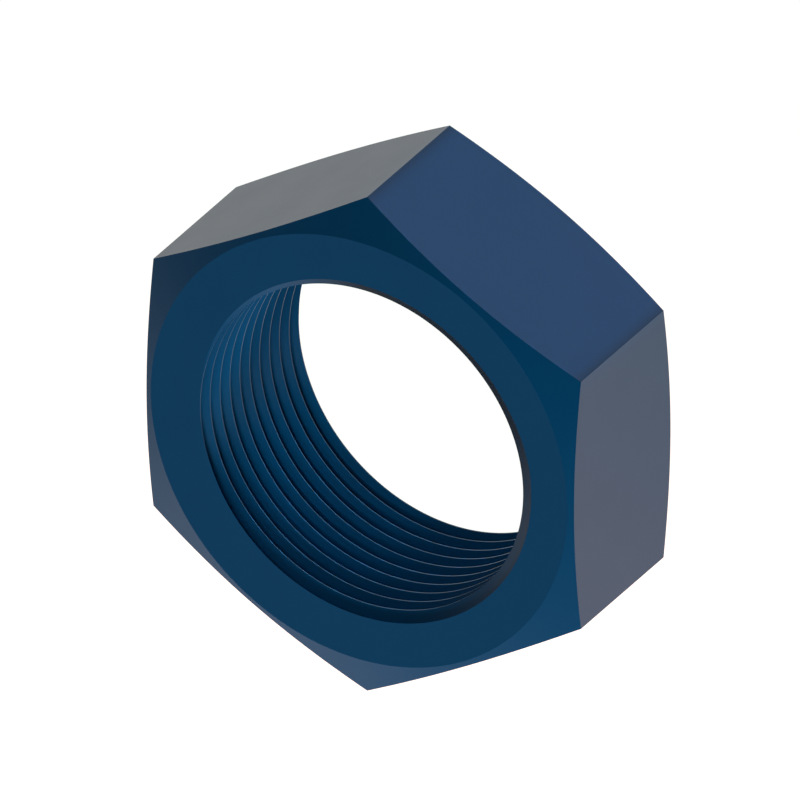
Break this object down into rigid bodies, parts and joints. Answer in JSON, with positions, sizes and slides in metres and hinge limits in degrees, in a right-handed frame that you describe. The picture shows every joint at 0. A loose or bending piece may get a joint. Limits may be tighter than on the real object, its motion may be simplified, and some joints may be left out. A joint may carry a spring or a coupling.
{
  "type": "lock nut",
  "caption": "Thin hexagonal lock nut with turned chamfers on its ends and a fine internal thread right through, coated dark blue.",
  "frame": {"origin": "centre of the lower bearing face, on the axis of the thread", "axes": "+Z along the axis of the thread, from the lower bearing face to the upper one; +X through a corner of the hexagon, so a pair of flats faces +Y and -Y"},
  "size_m": [0.0366, 0.0318, 0.0127],
  "materials": {
    "blue_coating": "smooth dark blue coating, half gloss"
  },
  "bodies": {
    "root": {"lock_nut": "blue_coating"}
  },
  "joints": []
}
